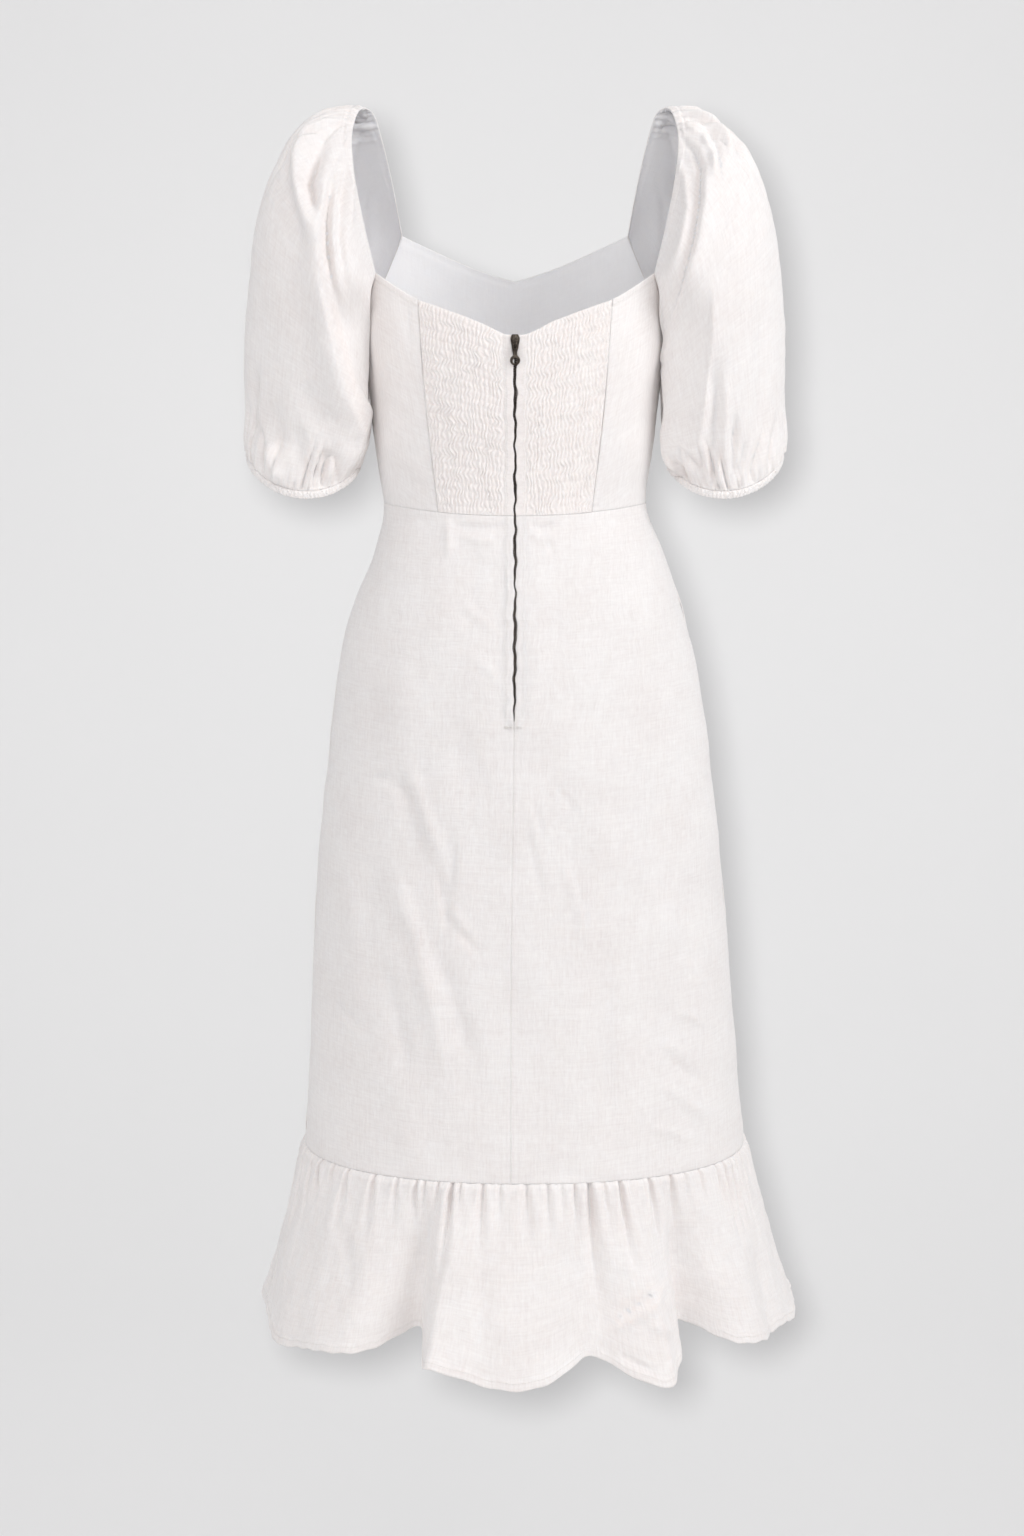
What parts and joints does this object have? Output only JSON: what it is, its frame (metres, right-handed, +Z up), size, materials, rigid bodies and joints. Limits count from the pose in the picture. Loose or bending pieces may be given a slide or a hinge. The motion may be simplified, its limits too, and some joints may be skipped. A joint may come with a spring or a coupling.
{
  "type": "puff sleeve midi dress",
  "caption": "Off-white linen midi dress with puff sleeves, a smocked back, a back zip and a ruffled hem, filled out with no wearer",
  "frame": {"origin": "level with the tops of both shoulders, midway between them, where the wearer holds the dress up", "axes": "+Z up along the dress, the back of the dress faces -Y, +X is to the right seen from behind"},
  "size_m": [0.545, 0.4516, 1.1899],
  "materials": {
    "linen": "washed plain weave linen, matt, slubby",
    "smocked_linen": "the same linen shirred in rows with elastic thread",
    "zip_tape_cloth": "woven polyester tape, matt",
    "antique_brass": "darkened brass, worn on its edges"
  },
  "bodies": {
    "dress": {"front_bodice": "linen", "back_side_panel_left": "linen", "back_side_panel_right": "linen", "back_smocked_panel_left": "smocked_linen", "back_smocked_panel_right": "smocked_linen", "sleeve_left": "linen", "sleeve_right": "linen", "sleeve_cuff_left": "linen", "sleeve_cuff_right": "linen", "skirt_front": "linen", "skirt_back_left": "linen", "skirt_back_right": "linen", "ruffle_back": "linen", "ruffle_front": "linen", "zip_tape_left": "zip_tape_cloth", "zip_tape_right": "zip_tape_cloth", "zip_chain": "antique_brass", "zip_slider": "antique_brass"},
    "pull_tab": {"zip_pull_tab": "antique_brass"}
  },
  "joints": [
    {"name": "pull_tab_hinge", "type": "hinge", "parent": "dress", "child": "pull_tab", "pos_m": [0, -0.1066, -0.2255], "axis": [-1, 0, 0], "range_deg": [0, 165]}
  ]
}
